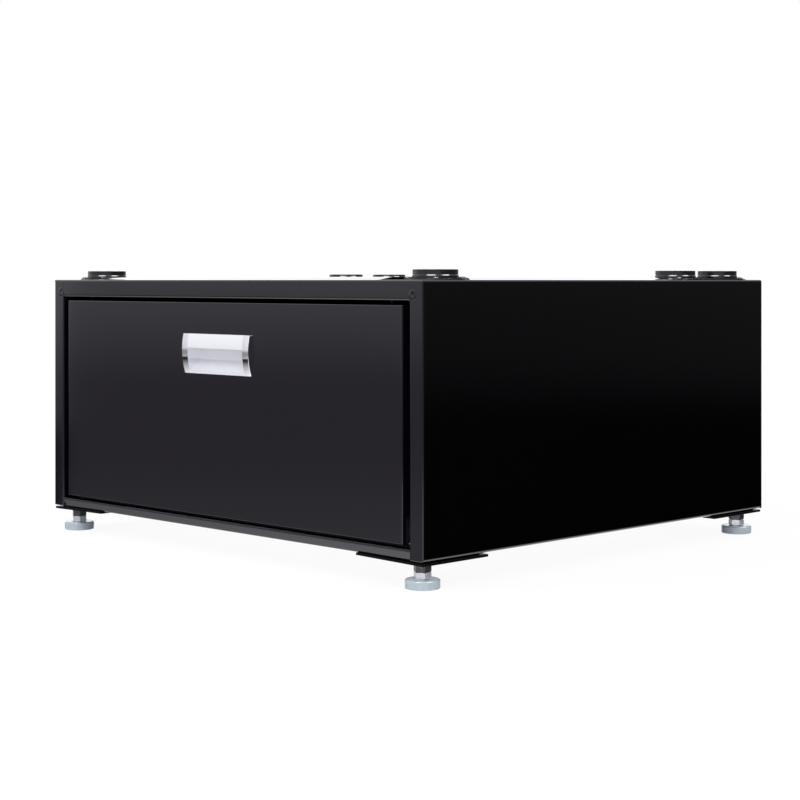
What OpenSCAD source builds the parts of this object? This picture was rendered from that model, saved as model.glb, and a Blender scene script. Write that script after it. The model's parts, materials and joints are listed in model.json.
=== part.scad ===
// Washer pedestal with one full-width drawer.
// Origin on the floor under the middle of the cabinet, front towards -Y, +Z up.

/* [Cabinet] */
// Width of the cabinet
body_w = 600; // [540:1:760]
// Depth of the cabinet, frame face to back face
body_d = 556; // [540:1:700]
// Height of the cabinet, bottom edge to top edge
body_h = 262; // [240:1:380]
// Clear height between the floor and the cabinet
stand_h = 28; // [28:0.5:40]
// Thickness of the cabinet sheet
sheet_t = 1.2; // [0.8:0.1:1.6]
// Outside radius of the cabinet bends
bend_r = 2; // [1.8:0.1:4]
// Radius on the cabinet's bottom edge at the sides
hem_r = 3; // [2:0.1:4]
// Width of the turned-in flanges of the side and back sheets
flange_w = 12; // [8:0.5:13]
// Rise of the crowned top sheet
crown_h = 2.8; // [1:0.1:4]
// Width of the slope round the crown
crown_slope = 24; // [12:1:40]
// Flat rim between the top sheet's bend and the crown's slope
crown_rim = 2; // [1:0.5:6]
// Width of the brace under each line of cups
brace_w = 46; // [45:1:50]
// Height of the brace
brace_h = 20; // [12:1:30]
// Sheet of the brace
brace_t = 1.5; // [1:0.1:2]

/* [Front frame] */
// Width of each stile
stile_w = 18; // [14:0.5:24]
// Height of the top rail
top_rail_h = 20; // [14:0.5:30]
// Height of the bottom rail
bottom_rail_h = 10; // [8:0.5:24]
// Depth of the frame section
frame_depth = 14; // [10:0.5:14]
// Wall of the frame section
frame_t = 1.5; // [1:0.1:2]
// Radius on the rails' edges towards the opening
lip_r = 3; // [2:0.1:4]
// Radius on the stiles' edges towards the opening
stile_lip_r = 2; // [1:0.1:3]
// Radius on the stiles' lower front edge
stile_foot_r = 1.4; // [0.5:0.1:1.5]
// Radius on the bottom rail's lower edge
rail_round_r = 2; // [2:0.5:6]
// Height of the dust stop along the bottom rail's back
dust_stop_h = 3.2; // [1:0.1:3.2]

/* [Drawer] */
// Gap between the drawer front and each stile
front_gap_side = 9; // [4:0.5:14]
// Gap between the drawer front and the top rail
front_gap_top = 3.8; // [2:0.1:8]
// Gap between the drawer front and the bottom rail
front_gap_bottom = 4.2; // [4:0.1:8]
// Depth of the drawer front pan
front_depth = 20; // [19:0.5:26]
// Sheet of the drawer
drawer_t = 1; // [0.8:0.1:1.5]
// Radius on the drawer front's top and bottom edges
pan_edge_r = 0.8; // [0.3:0.1:3]
// Height of the drawer walls
drawer_wall_h = 190; // [120:1:195]
// Height of the drawer floor above the cabinet's bottom edge
drawer_floor_h = 26; // [20:1:34]
// Width of the rims turned in at the top of the drawer walls
rim_w = 11; // [6:0.5:16]
// How far the drawer pulls out
drawer_travel = 450; // [250:5:460]

/* [Slides] */
// Length of the slides
slide_l = 500; // [460:5:510]
// Height of the outer slide member
slide_h = 45; // [40:1:50]
// Thickness of a whole slide, drawer wall to channel
slide_stack = 12.7; // [12.6:0.1:14]
// Sheet of the slide members
slide_t = 1.2; // [1:0.1:1.3]
// Height of the slide's middle above the cabinet's bottom edge
slide_height = 122; // [100:1:140]
// Channel face in from the opening's edge
channel_inset = 12.3; // [10:0.1:14]
// Sheet of the slide channel
channel_t = 1.5; // [1:0.1:2]
// Channel above and below the slide
channel_margin = 8; // [4:0.5:12]
// Height of the channel's lips on the side sheet
channel_lip = 10; // [8:0.5:14]
// How far the slides run on past the drawer's back
slide_tail = 6; // [4:1:12]
// First and last slide screw in from the slide's ends
slide_screw_end = 36; // [20:1:60]
// Air between the outer and the middle member
outer_web_gap = 1.1; // [1:0.1:1.4]
// Air between the middle and the inner member
inner_web_gap = 1.2; // [1:0.1:1.4]
// Diameter of the bearing balls
ball_d = 3.1; // [2.6:0.1:3.3]
// Length of each ball cage
cage_l = 120; // [80:5:130]
// Air left in front of a cage with the drawer out
cage_end_gap = 16; // [8:1:24]
// Balls in each race of a cage
race_balls = 6; // [4:1:8]

/* [Handle] */
// Width of the handle
handle_w = 109; // [90:1:160]
// Height of the handle
handle_h = 42; // [38:0.5:50]
// How far the handle stands out of the drawer front
handle_proud = 4.4; // [3:0.1:8]
// Width of each bright end bar
handle_cap_w = 9.5; // [6:0.5:14]
// Depth of the finger pocket behind the drawer front
pocket_depth = 14; // [10:0.5:14]
// Height of the band above the pocket's mouth
handle_lip_h = 15; // [10:0.5:17]
// Thickness of the band
band_t = 3; // [2:0.5:4]
// Wall round the pocket
pocket_t = 2; // [1.2:0.1:2.5]
// Reach of the rounding at the top of the pocket
pocket_ease = 4; // [2:0.5:5]
// Height of the lip below the pocket's mouth
lower_lip_h = 3.4; // [3:0.1:6]
// Thickness of the handle's edge on the drawer front
handle_rim = 0.6; // [0.4:0.1:1.5]
// How far the handle laps over its cut-out
cutout_lap = 2; // [1:0.1:3]
// Middle of the handle below the cabinet's top edge
handle_drop = 78; // [60:1:110]

/* [Levelling feet] */
// Foot centre in from each outer face
foot_inset = 20.5; // [20:0.5:21]
// Diameter of the pad
pad_d = 34; // [30:0.5:38]
// Height of the pad
pad_h = 9; // [8:0.5:9.5]
// Diameter of the threaded stud
stud_d = 10; // [8:0.5:10]
// Thread left above the corner plate with the foot all the way out
stud_spare = 20; // [8:1:26]
// Diameter of the stud's neck in the pad
neck_d = 8; // [6:0.5:9]
// Height at which the neck ends above the floor
neck_z = 3; // [2:0.5:4]
// Radius on the pad's upper edge
pad_edge_r = 2.5; // [1:0.1:3]
// Radius on the pad's lower edge
pad_skirt_r = 1; // [0.5:0.1:2]
// Hexagon across its flats
hex_af = 15; // [14:0.5:17]
// Height of each hexagon
hex_h = 6.5; // [5:0.1:6.8]
// How far a foot screws out
foot_travel = 12; // [6:1:20]
// Diameter of the welded collar
collar_d = 16; // [14:0.5:24]
// Length of a corner plate along each edge
gusset_length = 90; // [70:1:120]
// Width of a corner plate at its ends
gusset_tail = 16; // [14:1:24]
// Thickness of a corner plate
gusset_t = 2.5; // [2:0.1:3]
// Air between a corner plate's rim and the cabinet
gusset_gap = 1.5; // [0.5:0.1:1.6]
// Width of that rim, round the plate's raised middle
gusset_rim = 6; // [3:0.5:6]
// Corner plate in from the cabinet's faces
gusset_inset = 1; // [0.5:0.5:4]

/* [Foot cups] */
// Outside diameter of a cup
cup_d = 44; // [40:0.5:50]
// Bore of a cup, which takes a machine's foot
cup_bore_d = 38; // [32:0.5:39]
// Top of a tall cup above the cabinet's top edge
cup_top = 10; // [8:0.1:16]
// Top of the rear left cups above the cabinet's top edge
low_cup_top = 7; // [6:0.1:16]
// Thickness of a cup's floor
cup_floor = 2; // [1:0.1:3]
// Radius on a cup's lip
cup_edge_r = 0.8; // [0.4:0.1:1.5]
// Radius of the bead round a cup's base
bead_r = 1; // [0.6:0.1:1.5]
// Diameter of the plate under a cup
plate_d = 60; // [58:0.5:62]
// Thickness of the plate under a cup
plate_t = 1.5; // [1:0.1:2]
// Air round a plate in its seat
seat_gap = 3; // [1:0.5:5]
// Cup centre in from the cabinet's side
cup_inset = 32.7; // [31:0.1:60]
// Front cup centre behind the frame face
cup_front = 50.6; // [40:0.1:90]
// Middle cup centre in front of the back face
cup_middle = 120.9; // [100:0.1:180]
// Rear cup centre in front of the back face
cup_rear = 40.8; // [36:0.1:60]

/* [Fasteners] */
// Diameter of a small screw's head
screw_head_d = 6; // [4:0.5:7]
// Height of a small screw's head
screw_head_h = 1.6; // [1:0.1:2]
// Diameter of a small screw's shank
screw_d = 3.5; // [2.5:0.1:4]
// How far a small screw's tip comes out
screw_tip = 1.5; // [1:0.5:4]
// Length of a slide screw
slide_screw_l = 9.5; // [7:0.5:12]
// Height of a rivet's head
rivet_head_h = 1.6; // [1:0.1:2]
// Height of a rivet's closed end
rivet_end_h = 1.2; // [0.8:0.1:2]
// Diameter of a back screw's head
back_screw_head_d = 7; // [6:0.5:9]
// Height of a back screw's head
back_screw_head_h = 1.1; // [0.8:0.1:2]
// Length of a back screw
back_screw_l = 8; // [6:0.5:12]
// Back screws in from the cabinet's side
back_screw_in = 6.5; // [6:0.5:8]
// Top back screw below the cabinet's top edge
back_screw_top = 75; // [40:1:100]
// Middle back screw above the cabinet's bottom edge
back_screw_mid = 97; // [60:1:120]
// Bottom back screw above the cabinet's bottom edge
back_screw_low = 16; // [12:1:40]
// Clear air between a fastener and its hole, all round
hole_gap = 0.1; // [0.05:0.05:0.3]

/* [Hidden] */
$fn = 64;
eps = 0.01;
overcut = 5;
run_gap = 0.06;
ball_gap = 0.05;
cage_gap = 0.1;
cage_t = 0.6;
cage_web_t = 0.5;
cage_strip_w = 5;
flange_start = 2;
outer_race_x = 6;
inner_race_x = 4.8;

black_paint = [0.06, 0.06, 0.07];
gloss_black = [0.1, 0.1, 0.12];
zinc = [0.78, 0.79, 0.8];
satin = [0.86, 0.86, 0.88];
chrome = [0.93, 0.94, 0.96];
pad_grey = [0.68, 0.73, 0.78];
black_plastic = [0.12, 0.12, 0.13];

// Faces and edges of the cabinet
side_x = body_w / 2;
front_y = -body_d / 2;
back_y = body_d / 2;
base_z = stand_h;
top_z = stand_h + body_h;
frame_back_y = front_y + frame_depth;
open_x = side_x - stile_w;
open_low_z = base_z + bottom_rail_h;
open_high_z = top_z - top_rail_h;
skirt_z = top_z - bend_r;
panel_front_y = front_y + bend_r;
panel_back_y = back_y - sheet_t;
inner_x = side_x - sheet_t;
seat_under_z = top_z - sheet_t;

// Drawer front, walls and slides
front_x = open_x - front_gap_side;
front_low_z = open_low_z + front_gap_bottom;
front_high_z = open_high_z - front_gap_top;
front_back_y = front_y + front_depth;
liner_back_y = front_back_y + drawer_t;
channel_face_x = open_x - channel_inset;
wall_x = channel_face_x - slide_stack;
floor_z = base_z + drawer_floor_h;
wall_low_z = floor_z - drawer_t;
wall_high_z = wall_low_z + drawer_wall_h;
slide_z = base_z + slide_height;
slide_front_y = liner_back_y + 1;
slide_back_y = slide_front_y + slide_l;
drawer_back_y = slide_back_y - slide_tail;
channel_half = slide_h / 2 + channel_margin;
slide_screw_ys = [
    slide_front_y + slide_screw_end, slide_front_y + slide_l / 2, slide_back_y - slide_screw_end
];

// Slide section, measured from the drawer wall and from the slide's middle
race_gap = ball_d + 2 * ball_gap;
outer_half = slide_h / 2;
middle_half = outer_half - slide_t - race_gap;
inner_half = middle_half - slide_t - race_gap;
middle_web = slide_stack - slide_t - outer_web_gap;
inner_end = middle_web - slide_t - inner_web_gap;
cage_front_y = slide_front_y + drawer_travel / 4 + cage_end_gap;
ball_step = cage_l / race_balls;

// Handle section, measured from the drawer front's face and the handle's middle
handle_z = top_z - handle_drop;
handle_sag = handle_proud - handle_rim;
handle_r = (pow(handle_h / 2, 2) + pow(handle_sag, 2)) / (2 * handle_sag);
cutout_w = handle_w - 2 * cutout_lap;
cutout_h = handle_h - 2 * cutout_lap;
handle_screw_x = (handle_w - handle_cap_w - cutout_lap) / 2;
band_low = handle_h / 2 - handle_lip_h;
pocket_high = cutout_h / 2 - pocket_t - hole_gap;
pocket_floor_back = -handle_h / 6;
pocket_floor_front = lower_lip_h - handle_h / 2;

// Feet
foot_x = side_x - foot_inset;
foot_y = body_d / 2 - foot_inset;
gusset_z = base_z - gusset_gap - gusset_t;
hex_z = pad_h + hole_gap;
lock_nut_z = hex_z + hex_h;
collar_z = lock_nut_z + hex_h;
stud_top_z = base_z + stud_spare + foot_travel;
stud_r = stud_d / 2;
stud_bore_r = stud_r + run_gap;
neck_r = neck_d / 2;

// Foot cups
cup_x = side_x - cup_inset;
cup_front_y = front_y + cup_front;
cup_middle_y = back_y - cup_middle;
cup_rear_y = back_y - cup_rear;
plate_z = top_z + plate_t;
seat_r = plate_d / 2 + seat_gap;
plate_screw = (cup_d / 2 + screw_head_d / 2 + 1) / sqrt(2);

// Back screws
back_screw_x = side_x - back_screw_in;
back_screw_zs = [top_z - back_screw_top, base_z + back_screw_mid, base_z + back_screw_low];

// ---- helpers ------------------------------------------------------------

module block(low, high) {
    translate(low) cube(high - low);
}

// A drawing in X and Z, drawn out from y0 to y1
module along_y(y0, y1) {
    translate([0, y1, 0]) rotate([90, 0, 0]) linear_extrude(y1 - y0) children();
}

// A drawing in Y and Z, drawn out from x0 to x1
module along_x(x0, x1) {
    translate([x0, 0, 0]) rotate([90, 0, 90]) linear_extrude(x1 - x0) children();
}

// A rectangle with its own radius at each corner, from low left anticlockwise
module soft_rect(low, high, r) {
    corners = [low, [high.x, low.y], high, [low.x, high.y]];
    inward = [[1, 1], [-1, 1], [-1, -1], [1, -1]];
    difference() {
        translate(low) square(high - low);
        for (i = [0:3]) if (r[i] > 0) translate(corners[i]) difference() {
            square(2 * r[i], center = true);
            translate(r[i] * inward[i]) circle(r[i]);
            translate(r[i] * inward[i]) square([2 * r[i], 0.001], center = true);
        }
    }
}

// side = 1 is the right-hand piece, side = -1 its mirror image
module on_side(side) {
    mirror([side < 0 ? 1 : 0, 0, 0]) children();
}

// end = -1 is the front piece, end = 1 the rear one
module on_end(end) {
    mirror([0, end > 0 ? 1 : 0, 0]) children();
}

module hexagon(across, h) {
    rotate([0, 0, 45]) cylinder(r = across / sqrt(3), h = h, $fn = 6);
}

// A screw's hole, half of it each way from the middle
module screw_bore(length) {
    cylinder(d = screw_d + 2 * hole_gap, h = length, center = true);
}

// A pan-head screw whose head stands on z = 0, pointing down
module screw(shank) {
    head_r = screw_head_d / 2;
    rotate_extrude() {
        soft_rect([0, 0], [head_r, screw_head_h], [0, 0, screw_head_h * 0.6, 0]);
        translate([0, -shank]) square([screw_d / 2, shank + eps]);
    }
}

// ---- cabinet ------------------------------------------------------------

// Half the outline of the top sheet across one axis, as a solid
module crown_outline(half, low_z, edge_z, r) {
    flat = r + crown_rim;
    soft_rect([-half, low_z], [half, edge_z], [0, 0, r, r]);
    polygon([
        [-half + flat, edge_z - eps], [half - flat, edge_z - eps],
        [half - flat - crown_slope, edge_z + crown_h],
        [-half + flat + crown_slope, edge_z + crown_h]
    ]);
}

module crown_solid(inset, low_z, edge_z, r) {
    intersection() {
        along_y(front_y + inset, back_y - inset)
            crown_outline(side_x - inset, low_z, edge_z, r);
        along_x(-side_x + inset, side_x - inset)
            crown_outline(body_d / 2 - inset, low_z, edge_z, r);
    }
}

// The flat seats pressed into the crown under the cup plates, open at the front edge
module seats(edge_z, r) {
    for (x = [-cup_x, cup_x]) {
        for (y = [cup_front_y, cup_middle_y, cup_rear_y])
            translate([x, y, edge_z]) cylinder(r = r, h = crown_h + overcut);
        block([x - r, cup_middle_y, edge_z], [x + r, cup_rear_y, edge_z + crown_h + overcut]);
        block([x - r, front_y - overcut, edge_z], [x + r, cup_front_y, edge_z + crown_h + overcut]);
    }
}

// Where the screws of the cup plates stand
module at_cup_screws() {
    for (side = [-1, 1]) {
        for (dx = [-1, 1], dy = [-1, 1])
            translate([side * cup_x + dx * plate_screw, cup_front_y + dy * plate_screw, plate_z])
                children();
        for (dx = [-1, 1]) {
            translate([side * cup_x + dx * plate_screw, cup_middle_y - plate_screw, plate_z])
                children();
            translate([side * cup_x + dx * plate_screw, cup_rear_y + plate_screw, plate_z])
                children();
        }
    }
}

module cup_screw_holes(depth) {
    at_cup_screws() screw_bore(2 * depth);
}

module top_panel() {
    color(gloss_black) difference() {
        crown_solid(0, skirt_z, top_z, bend_r);
        seats(top_z, seat_r);
        difference() {
            crown_solid(sheet_t, skirt_z - overcut, seat_under_z, bend_r - sheet_t);
            seats(seat_under_z, seat_r + sheet_t);
        }
        cup_screw_holes(plate_t + sheet_t + crown_h);
    }
}

// The rolled bottom edge of the side, in X and Z
module side_envelope() {
    soft_rect([side_x - flange_w, base_z], [side_x, skirt_z], [0, hem_r, 0, 0]);
}

// The side sheet: a face, a bottom flange, a rear flange and a lip under the top.
// In front of the frame's back only the face goes on, over the stile.
module side_panel(side) {
    lip_w = 8;
    lip_lap = 10;
    mid_wall = inner_x + sheet_t / 2;
    color(black_paint) on_side(side) difference() {
        union() {
            along_y(panel_front_y, frame_back_y) intersection() {
                side_envelope();
                translate([inner_x, base_z]) square([sheet_t, skirt_z - base_z]);
            }
            along_y(frame_back_y, panel_back_y) difference() {
                side_envelope();
                soft_rect([side_x - flange_w - 1, base_z + sheet_t], [inner_x, skirt_z + 1],
                    [0, hem_r - sheet_t, 0, 0]);
            }
            block([side_x - flange_w, panel_back_y - sheet_t, base_z + bend_r],
                [mid_wall, panel_back_y, skirt_z - lip_lap - 1]);
            block([inner_x - sheet_t, frame_back_y + 1, skirt_z - lip_lap],
                [mid_wall, panel_back_y - sheet_t, skirt_z]);
            block([inner_x - lip_w, frame_back_y + 1, seat_under_z - sheet_t],
                [inner_x - bend_r + sheet_t, panel_back_y - sheet_t, seat_under_z]);
        }
        for (z = back_screw_zs)
            translate([back_screw_x, back_y, z]) rotate([90, 0, 0]) screw_bore(2 * flange_w);
    }
}

// The back sheet, with a flange along its bottom edge
module back_panel() {
    color(black_paint) difference() {
        union() {
            block([-side_x, panel_back_y, base_z], [side_x, back_y, skirt_z]);
            block([-side_x + flange_w + 1, back_y - flange_w, base_z],
                [side_x - flange_w - 1, panel_back_y + eps, base_z + sheet_t]);
        }
        for (x = [-back_screw_x, back_screw_x], z = back_screw_zs)
            translate([x, back_y, z]) rotate([90, 0, 0]) screw_bore(4 * sheet_t);
    }
}

// A stile: the face carries the rounded corner, the box behind sits inside the side sheet
module front_stile(side) {
    color(gloss_black) on_side(side) intersection() {
        translate([0, 0, base_z]) linear_extrude(skirt_z - base_z) difference() {
            union() {
                soft_rect([open_x, front_y], [side_x, panel_front_y], [stile_lip_r, bend_r, 0, 0]);
                soft_rect([open_x, front_y], [inner_x, frame_back_y], [stile_lip_r, 0, 0, 0]);
            }
            translate([open_x + frame_t, front_y + frame_t])
                square([inner_x - open_x - 2 * frame_t, frame_depth - 2 * frame_t]);
        }
        along_y(front_y, frame_back_y)
            soft_rect([open_x, base_z], [side_x, skirt_z], [0, hem_r, 0, 0]);
        along_x(open_x, side_x)
            soft_rect([front_y, base_z], [frame_back_y, skirt_z], [stile_foot_r, 0, 0, 0]);
    }
}

// A rail between the stiles; its front corners are rounded by r_low and r_high
module frame_rail(low_z, high_z, r_low, r_high) {
    along_x(-open_x, open_x) difference() {
        soft_rect([front_y, low_z], [frame_back_y, high_z], [r_low, 0, 0, r_high]);
        soft_rect([front_y + frame_t, low_z + frame_t], [frame_back_y - frame_t, high_z - frame_t],
            [max(r_low - frame_t, 0.5), 0, 0, max(r_high - frame_t, 0)]);
    }
}

module top_rail() {
    color(gloss_black) frame_rail(open_high_z, skirt_z, lip_r, 0);
}

module bottom_rail() {
    color(gloss_black) {
        frame_rail(base_z, open_low_z, rail_round_r, lip_r);
        block([-open_x, frame_back_y - frame_t, open_low_z - eps],
            [open_x, frame_back_y, open_low_z + dust_stop_h]);
    }
}

// A hat section under the top sheet, below one line of cups
module top_brace(side) {
    low_z = seat_under_z - brace_h;
    color(black_paint) on_side(side) difference() {
        along_y(frame_back_y, panel_back_y - bend_r) difference() {
            translate([cup_x - brace_w / 2, low_z]) square([brace_w, brace_h]);
            translate([cup_x - brace_w / 2 + brace_t, low_z - 1])
                square([brace_w - 2 * brace_t, brace_h + 1 - brace_t]);
        }
        for (y = [cup_front_y - plate_screw, cup_front_y + plate_screw,
                  cup_middle_y - plate_screw, cup_rear_y + plate_screw],
             dx = [-plate_screw, plate_screw])
            translate([cup_x + dx, y, seat_under_z]) screw_bore(4 * brace_t);
    }
}

// The outline of a corner plate, less a rim
module gusset_outline(rim) {
    long = gusset_length - rim;
    short = gusset_tail - rim;
    translate([side_x - gusset_inset, -front_y - gusset_inset])
        polygon([[-rim, -rim], [-long, -rim], [-long, -short], [-short, -long], [-rim, -long]]);
}

// The plate under a bottom corner, with a raised middle and the foot's hole
module gusset(side, end) {
    rise = gusset_t + gusset_gap;
    color(black_paint) on_side(side) on_end(-end) translate([0, 0, gusset_z]) difference() {
        union() {
            linear_extrude(gusset_t) gusset_outline(0);
            linear_extrude(rise) gusset_outline(gusset_rim);
        }
        translate([foot_x, foot_y, -1]) cylinder(r = stud_bore_r, h = rise + 2);
    }
}

module at_feet() {
    for (x = [-foot_x, foot_x], y = [-foot_y, foot_y]) translate([x, y, 0]) children();
}

module foot_collars() {
    color(black_paint) at_feet() translate([0, 0, collar_z]) difference() {
        cylinder(d = collar_d, h = gusset_z - collar_z);
        translate([0, 0, -1]) cylinder(r = stud_bore_r, h = gusset_z - collar_z + 2);
    }
}

module lock_nuts() {
    color(black_plastic) at_feet() translate([0, 0, lock_nut_z]) difference() {
        hexagon(hex_af, collar_z - lock_nut_z);
        translate([0, 0, -1]) cylinder(r = stud_bore_r, h = hex_h + 2);
    }
}

// ---- slides -------------------------------------------------------------

// Places a slide's section: x runs from the drawer wall outwards, y up from its middle
module slide_section(y0, y1) {
    along_y(y0, y1) translate([wall_x, slide_z]) children();
}

// A C shape lying on its side: web from x0 to x0 + t, flanges from near to far
module c_shape(near, far, web, half, t) {
    translate([web, -half]) square([t, 2 * half]);
    for (v = [-half, half - t]) translate([near, v]) square([far - near, t]);
}

// The hat section that carries a slide on the side sheet
module slide_channel(side) {
    back = inner_x - wall_x;
    lips = channel_half + channel_lip;
    color(black_paint) on_side(side) difference() {
        slide_section(slide_front_y + 2, slide_back_y - 2) {
            translate([slide_stack, 0]) c_shape(0, back - slide_stack, 0, channel_half, channel_t);
            for (v = [channel_half - channel_t, -lips])
                translate([back - channel_t, v]) square([channel_t, channel_lip + channel_t]);
        }
        slide_screw_holes(slide_stack - 1, channel_t + 2);
    }
}

module slide_screw_holes(from_x, depth) {
    for (y = slide_screw_ys) translate([wall_x + from_x, y, slide_z]) rotate([0, 90, 0])
        cylinder(d = screw_d + 2 * hole_gap, h = depth);
}

// A countersunk head, wide end at z = 0, with the given extra air
module flush_head(air) {
    cylinder(r1 = screw_head_d / 2 + air, r2 = screw_d / 2 + air, h = slide_t);
}

module slide_outer(side) {
    color(zinc) on_side(side) difference() {
        slide_section(slide_front_y, slide_back_y)
            c_shape(flange_start, slide_stack, slide_stack - slide_t, outer_half, slide_t);
        slide_screw_holes(slide_stack - slide_t - 1, slide_t + 2);
        for (y = slide_screw_ys) translate([wall_x + slide_stack - slide_t, y, slide_z])
            rotate([0, 90, 0]) flush_head(hole_gap);
    }
}

module channel_screws() {
    color(zinc) for (side = [-1, 1], y = slide_screw_ys) on_side(side)
        translate([wall_x + slide_stack - slide_t, y, slide_z]) rotate([0, 90, 0]) {
            flush_head(0);
            cylinder(d = screw_d, h = slide_screw_l);
        }
}

module slide_middle(side) {
    color(zinc) on_side(side) slide_section(slide_front_y, slide_back_y)
        c_shape(flange_start, middle_web, middle_web - slide_t, middle_half, slide_t);
}

// The drawer's own member, with its rivet holes
module slide_inner(side) {
    color(zinc) on_side(side) difference() {
        slide_section(slide_front_y, slide_back_y) c_shape(0, inner_end, 0, inner_half, slide_t);
        slide_screw_holes(-1, slide_t + 2);
    }
}

// A cage strip round the top and bottom races, with its balls
module ball_cage(side, race_x, race_v, web_x) {
    strip_start = race_x - cage_strip_w / 2;
    ball_ys = [for (i = [0:race_balls - 1]) cage_front_y + (i + 0.5) * ball_step];
    on_side(side) {
        color(satin) difference() {
            slide_section(cage_front_y, cage_front_y + cage_l)
                c_shape(strip_start, web_x + cage_web_t, web_x, race_v + cage_t / 2, cage_t);
            for (y = ball_ys) translate([wall_x + race_x, y, slide_z])
                cylinder(d = ball_d + 2 * cage_gap, h = 2 * race_v + ball_d, center = true);
        }
        color(chrome) for (y = ball_ys, v = [-race_v, race_v])
            translate([wall_x + race_x, y, slide_z + v]) sphere(d = ball_d);
    }
}

module ball_cage_outer(side) {
    ball_cage(side, outer_race_x, middle_half + race_gap / 2,
        middle_web + (outer_web_gap - cage_web_t) / 2);
}

module ball_cage_inner(side) {
    ball_cage(side, inner_race_x, inner_half + race_gap / 2,
        inner_end + (inner_web_gap - cage_web_t) / 2);
}

// ---- drawer -------------------------------------------------------------

// The front pan: a face with turned-back edges and the handle's cut-out
module drawer_front() {
    inner_r = bend_r - drawer_t;
    edge_r = max(pan_edge_r - drawer_t, 0);
    color(gloss_black) difference() {
        intersection() {
            translate([0, 0, front_low_z]) linear_extrude(front_high_z - front_low_z)
                soft_rect([-front_x, front_y], [front_x, front_back_y], [bend_r, bend_r, 0, 0]);
            along_x(-front_x, front_x)
                soft_rect([front_y, front_low_z], [front_back_y, front_high_z],
                    [pan_edge_r, 0, 0, pan_edge_r]);
        }
        intersection() {
            translate([0, 0, front_low_z + drawer_t])
                linear_extrude(front_high_z - front_low_z - 2 * drawer_t)
                soft_rect([-front_x + drawer_t, front_y + drawer_t],
                    [front_x - drawer_t, front_back_y + 1], [inner_r, inner_r, 0, 0]);
            along_x(-front_x + drawer_t, front_x - drawer_t)
                soft_rect([front_y + drawer_t, front_low_z + drawer_t],
                    [front_back_y + 1, front_high_z - drawer_t], [edge_r, 0, 0, edge_r]);
        }
        block([-cutout_w / 2, front_y - 1, handle_z - cutout_h / 2],
            [cutout_w / 2, front_y + drawer_t + 1, handle_z + cutout_h / 2]);
    }
}

// The flat sheet that closes the pan and takes the drawer walls
module front_liner() {
    color(black_paint) difference() {
        block([-front_x, front_back_y, front_low_z], [front_x, liner_back_y, front_high_z]);
        for (x = [-handle_screw_x, handle_screw_x])
            translate([x, front_back_y, handle_z]) rotate([90, 0, 0]) screw_bore(4 * drawer_t);
    }
}

// A drawer wall: face outside, rim turned in at the top, flange under the floor
module drawer_side(side) {
    color(zinc) on_side(side) difference() {
        along_y(liner_back_y, drawer_back_y) difference() {
            soft_rect([wall_x - rim_w, wall_low_z], [wall_x, wall_high_z], [0, bend_r, bend_r, 0]);
            soft_rect([wall_x - rim_w - 1, wall_low_z + drawer_t],
                [wall_x - drawer_t, wall_high_z - drawer_t],
                [0, bend_r - drawer_t, bend_r - drawer_t, 0]);
        }
        slide_screw_holes(-drawer_t - 1, drawer_t + 2);
    }
}

module drawer_back() {
    half = wall_x - bend_r;
    color(zinc) along_x(-half, half) difference() {
        soft_rect([drawer_back_y - rim_w, floor_z + drawer_t],
            [drawer_back_y, wall_high_z - drawer_t], [0, 0, bend_r, 0]);
        soft_rect([drawer_back_y - rim_w - 1, floor_z],
            [drawer_back_y - drawer_t, wall_high_z - 2 * drawer_t], [0, 0, bend_r - drawer_t, 0]);
    }
}

module drawer_bottom() {
    half = wall_x - bend_r;
    color(zinc) block([-half, liner_back_y, floor_z], [half, drawer_back_y, floor_z + drawer_t]);
}

// The rivets of the inner members and the screws of the handle
module drawer_screws() {
    grip = slide_t + drawer_t;
    color(zinc) {
        for (side = [-1, 1], y = slide_screw_ys) on_side(side)
            translate([wall_x - drawer_t, y, slide_z]) rotate([0, 90, 0]) {
                translate([0, 0, grip]) cylinder(d = screw_head_d, h = rivet_head_h);
                translate([0, 0, -eps]) cylinder(d = screw_d, h = grip + 2 * eps);
                translate([0, 0, -rivet_end_h]) cylinder(d = screw_head_d, h = rivet_end_h);
            }
        for (side = [-1, 1])
            translate([side * handle_screw_x, liner_back_y, handle_z]) rotate([-90, 0, 0])
                screw(drawer_t + front_depth - pocket_depth - pocket_t / 2);
    }
}

// ---- handle -------------------------------------------------------------

// The bulged outline of the handle in Y and Z, its back on the drawer front's face
module handle_outline() {
    half = handle_h / 2;
    intersection() {
        translate([front_y - handle_proud + handle_r, handle_z]) circle(handle_r, $fn = 180);
        translate([front_y - handle_proud - 1, handle_z - half])
            square([handle_sag + 1, handle_h]);
    }
    translate([front_y - handle_rim - eps, handle_z - half]) square([handle_rim + eps, handle_h]);
}

// The box of the handle behind the drawer front
module handle_box() {
    half = cutout_h / 2 - hole_gap;
    translate([front_y - eps, handle_z - half]) square([pocket_depth + pocket_t + eps, 2 * half]);
}

// The pocket in Y and Z: fingers go in below the band and up behind it
module handle_pocket() {
    back = front_y + pocket_depth;
    ahead = front_y - handle_proud - 1;
    band_back = front_y - handle_proud + band_t;
    translate([0, handle_z]) polygon([
        [ahead, band_low], [band_back, band_low],
        [band_back + pocket_ease * 0.25, pocket_high - pocket_ease],
        [band_back + pocket_ease * 0.75, pocket_high - pocket_ease * 0.25],
        [band_back + pocket_ease * 1.5, pocket_high], [back - pocket_ease, pocket_high],
        [back - pocket_ease * 0.3, pocket_high - pocket_ease * 0.3],
        [back, pocket_high - pocket_ease], [back, pocket_floor_back],
        [front_y - 1, pocket_floor_front], [ahead, pocket_floor_front]
    ]);
}

module handle_body() {
    half = handle_w / 2 - handle_cap_w;
    color(satin) along_x(-half, half) difference() {
        union() {
            handle_outline();
            handle_box();
        }
        handle_pocket();
    }
}

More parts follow.
